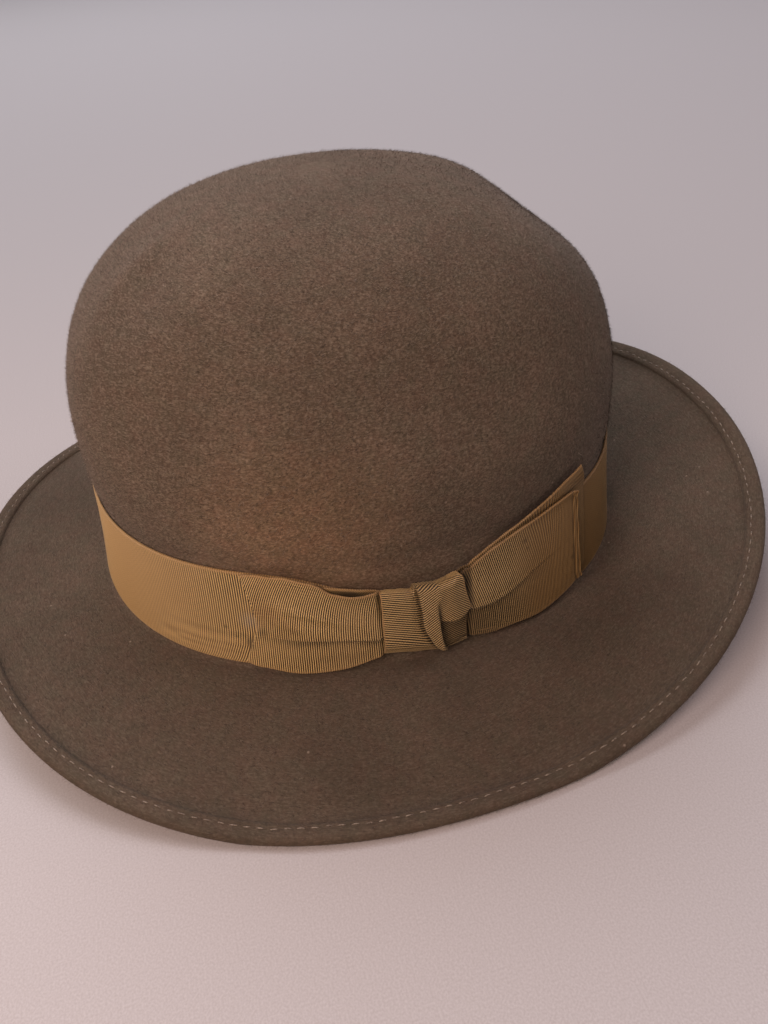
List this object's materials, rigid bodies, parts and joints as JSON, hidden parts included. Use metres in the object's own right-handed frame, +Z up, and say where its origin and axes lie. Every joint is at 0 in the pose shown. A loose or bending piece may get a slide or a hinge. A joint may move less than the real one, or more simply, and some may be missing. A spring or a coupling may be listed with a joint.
{
  "type": "felt hat",
  "caption": "Soft felt hat with an open round crown, a welted brim that turns up at the back, a grosgrain ribbon and a flat side bow.",
  "frame": {"origin": "middle of the brim's outline, on the surface that the hat rests on", "axes": "+Z up, -Y the front of the hat and +Y its back along the longer way of the brim, +X the wearer's left, where the bow is"},
  "size_m": [0.2868, 0.308, 0.1474],
  "materials": {
    "felt": "grey-brown fur felt with a short soft nap",
    "ribbon": "old-gold grosgrain with fine ribs across its width"
  },
  "bodies": {
    "root": {"felt_body": "felt", "ribbon_band": "ribbon", "bow_front_loop": "ribbon", "bow_back_wing_under": "ribbon", "bow_back_wing_over": "ribbon", "bow_knot": "ribbon"}
  },
  "joints": []
}
